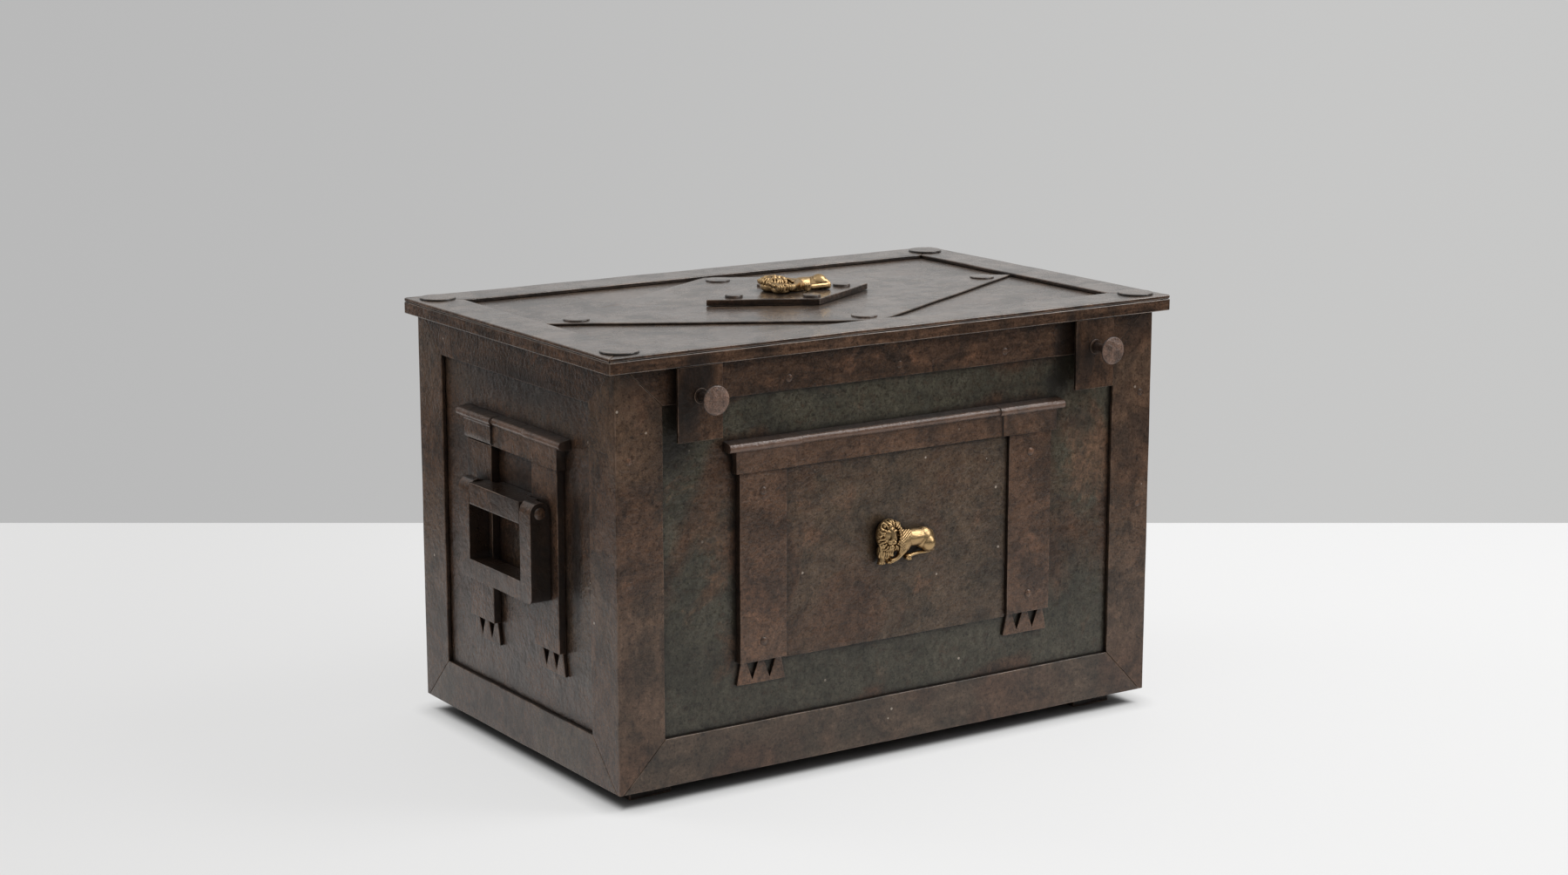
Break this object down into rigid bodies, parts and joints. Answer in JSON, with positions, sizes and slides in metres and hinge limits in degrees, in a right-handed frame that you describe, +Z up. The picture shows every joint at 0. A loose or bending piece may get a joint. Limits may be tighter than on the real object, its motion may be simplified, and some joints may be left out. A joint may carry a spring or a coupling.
{
  "type": "coffer chest",
  "caption": "Low iron strongbox with strapped edges, pilasters under a cornice, drop handles at the ends and a hinged lid locked by sliding knob bolts.",
  "frame": {"origin": "on the floor, under the middle of the closed chest's bounding box", "axes": "+Z up, +X to the chest's right as seen from its front, and the front with the knobs looks along -Y"},
  "size_m": [0.648, 0.4256, 0.4314],
  "materials": {
    "sheet_iron": "hammered dark sheet iron, grey-brown patina, semi-gloss with thin rust",
    "strip_iron": "smooth forged strip, brown-black with red-brown rust bloom and worn bright edges",
    "moulded_iron": "forged and filed mouldings, brown-black with rust and bright worn arrises",
    "lid_iron": "smoothed lid plates, grey-brown, semi-gloss, scratched",
    "fitting_iron": "forged fittings, dark brown, polished by handling on the faces",
    "antique_brass": "old cast brass, bright on the high points and dark in the hollows"
  },
  "bodies": {
    "chest": {"floor_plate": "sheet_iron", "front_panel": "sheet_iron", "back_panel": "sheet_iron", "left_panel": "sheet_iron", "right_panel": "sheet_iron", "corner_post_front_left": "strip_iron", "corner_post_front_right": "strip_iron", "corner_post_back_right": "strip_iron", "corner_post_back_left": "strip_iron", "bottom_rail_front": "strip_iron", "bottom_rail_back": "strip_iron", "bottom_rail_left": "strip_iron", "bottom_rail_right": "strip_iron", "top_rail_front": "strip_iron", "top_rail_back": "strip_iron", "top_rail_left": "strip_iron", "top_rail_right": "strip_iron", "foot_front_left": "fitting_iron", "foot_front_right": "fitting_iron", "foot_back_left": "fitting_iron", "foot_back_right": "fitting_iron", "front_pilaster_left": "moulded_iron", "front_pilaster_right": "moulded_iron", "front_cornice": "moulded_iron", "front_field_plate": "sheet_iron", "front_lion": "antique_brass", "left_pilaster_front": "moulded_iron", "left_pilaster_back": "moulded_iron", "left_cornice": "moulded_iron", "right_pilaster_front": "moulded_iron", "right_pilaster_back": "moulded_iron", "right_cornice": "moulded_iron", "left_handle_block": "fitting_iron", "left_handle_pin": "fitting_iron", "right_handle_block": "fitting_iron", "right_handle_pin": "fitting_iron", "hinge_body_leaf_left": "fitting_iron", "hinge_body_leaf_right": "fitting_iron", "hinge_pin_left": "fitting_iron", "hinge_pin_right": "fitting_iron"},
    "lid": {"lid_plate": "lid_iron", "lid_border_front": "lid_iron", "lid_border_right": "lid_iron", "lid_border_back": "lid_iron", "lid_border_left": "lid_iron", "lid_disc_front_left": "lid_iron", "lid_disc_front_right": "lid_iron", "lid_disc_back_left": "lid_iron", "lid_disc_back_right": "lid_iron", "lid_lozenge_large": "lid_iron", "lid_lozenge_small": "lid_iron", "lid_lion": "antique_brass", "hasp_plate_left": "fitting_iron", "hasp_plate_right": "fitting_iron", "hinge_lid_leaf_left": "fitting_iron", "hinge_lid_leaf_right": "fitting_iron"},
    "left_bail": {"left_handle_bail": "fitting_iron"},
    "right_bail": {"right_handle_bail": "fitting_iron"},
    "left_knob": {"knob_bolt_left": "fitting_iron"},
    "right_knob": {"knob_bolt_right": "fitting_iron"}
  },
  "joints": [
    {"name": "lid_hinge", "type": "hinge", "parent": "chest", "child": "lid", "pos_m": [0, 0.20775, 0.39], "axis": [-1, 0, 0], "range_deg": [0, 100]},
    {"name": "left_bail_swing", "type": "hinge", "parent": "chest", "child": "left_bail", "pos_m": [-0.314, 0.00775, 0.251], "axis": [0, 1, 0], "range_deg": [0, 165]},
    {"name": "right_bail_swing", "type": "hinge", "parent": "chest", "child": "right_bail", "pos_m": [0.314, 0.00775, 0.251], "axis": [0, -1, 0], "range_deg": [0, 165]},
    {"name": "left_knob_slide", "type": "slide", "parent": "lid", "child": "left_knob", "axis": [0, 1, 0], "range_m": [0, 0.014]},
    {"name": "right_knob_slide", "type": "slide", "parent": "lid", "child": "right_knob", "axis": [0, 1, 0], "range_m": [0, 0.014]}
  ]
}
